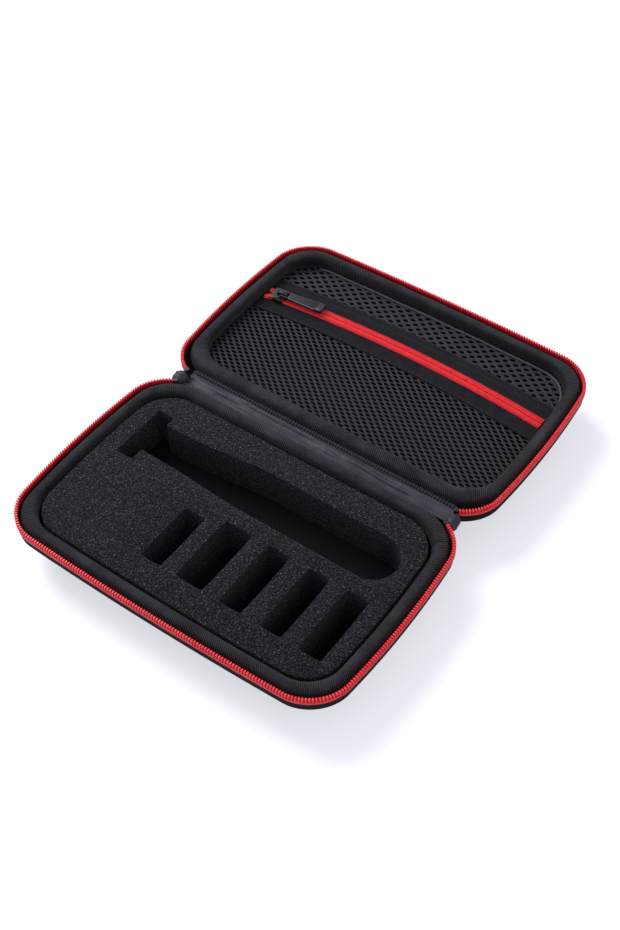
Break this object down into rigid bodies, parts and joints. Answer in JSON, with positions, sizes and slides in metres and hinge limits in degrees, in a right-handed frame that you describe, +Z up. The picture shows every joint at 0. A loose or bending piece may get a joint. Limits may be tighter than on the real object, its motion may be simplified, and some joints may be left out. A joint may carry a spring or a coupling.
{
  "type": "electric shaver hard case",
  "caption": "Semi-rigid zip case, lying open, with a cut foam insert for a shaver and combs and a zipped mesh pocket in the lid.",
  "frame": {"origin": "middle of the hinge line, on the ground under it, with the case open flat", "axes": "+X along the hinge, +Y from the base towards the lid, +Z up out of the open case"},
  "size_m": [0.2052, 0.2648, 0.028],
  "materials": {
    "shell_fabric": "woven polyester over moulded foam board, matt",
    "knit_lining": "ribbed knit, matt",
    "binding_knit": "fine cross-ribbed knit over padding",
    "zipper_tape": "woven tape",
    "red_coil": "glossy nylon coil",
    "black_metal": "gloss black enamel",
    "foam": "open-cell foam with fine speckle",
    "satin": "slate satin weave",
    "net": "knitted net with staggered holes",
    "band_cloth": "plain knit band"
  },
  "bodies": {
    "base": {"base_shell": "shell_fabric", "base_lining": "knit_lining", "base_binding": "binding_knit", "base_zipper_tape": "zipper_tape", "base_zipper_teeth": "red_coil", "base_zipper_stops": "black_metal", "foam_insert": "foam", "hinge_outer_band": "shell_fabric", "hinge_inner_band": "satin", "hinge_fold_left": "satin", "hinge_fold_right": "satin", "zipper_tail": "zipper_tape", "main_slider": "black_metal"},
    "lid": {"lid_shell": "shell_fabric", "lid_lining": "knit_lining", "lid_binding": "binding_knit", "lid_zipper_tape": "zipper_tape", "lid_zipper_teeth": "red_coil", "lid_zipper_stops": "black_metal", "pocket_net_lower": "net", "pocket_net_upper": "net", "pocket_band_lower": "band_cloth", "pocket_band_upper": "band_cloth", "pocket_teeth_lower": "red_coil", "pocket_teeth_upper": "red_coil", "pocket_end_stops": "black_metal"},
    "pocket_slider": {"pocket_slider": "black_metal"},
    "pocket_pull": {"pocket_pull": "black_metal"},
    "main_pull": {"main_pull": "black_metal"}
  },
  "joints": [
    {"name": "lid_hinge", "type": "hinge", "parent": "base", "child": "lid", "pos_m": [0, 0, 0.0282], "axis": [1, 0, 0], "range_deg": [0, 180], "deforming": ["hinge_outer_band", "hinge_inner_band", "hinge_fold_left", "hinge_fold_right"]},
    {"name": "pocket_zip", "type": "hinge", "parent": "lid", "child": "pocket_slider", "pos_m": [0, -0.71711, 0.0207], "axis": [0, 0, -1], "range_deg": [0, 10.2]},
    {"name": "pocket_pull_hinge", "type": "hinge", "parent": "pocket_slider", "child": "pocket_pull", "pos_m": [-0.0806, 0.08541, 0.02475], "axis": [0.101, -0.9949, 0], "range_deg": [0, 10]},
    {"name": "main_pull_hinge", "type": "hinge", "parent": "base", "child": "main_pull", "pos_m": [-0.09125, 0, 0.0108], "axis": [0, 1, 0], "range_deg": [0, 120]}
  ]
}
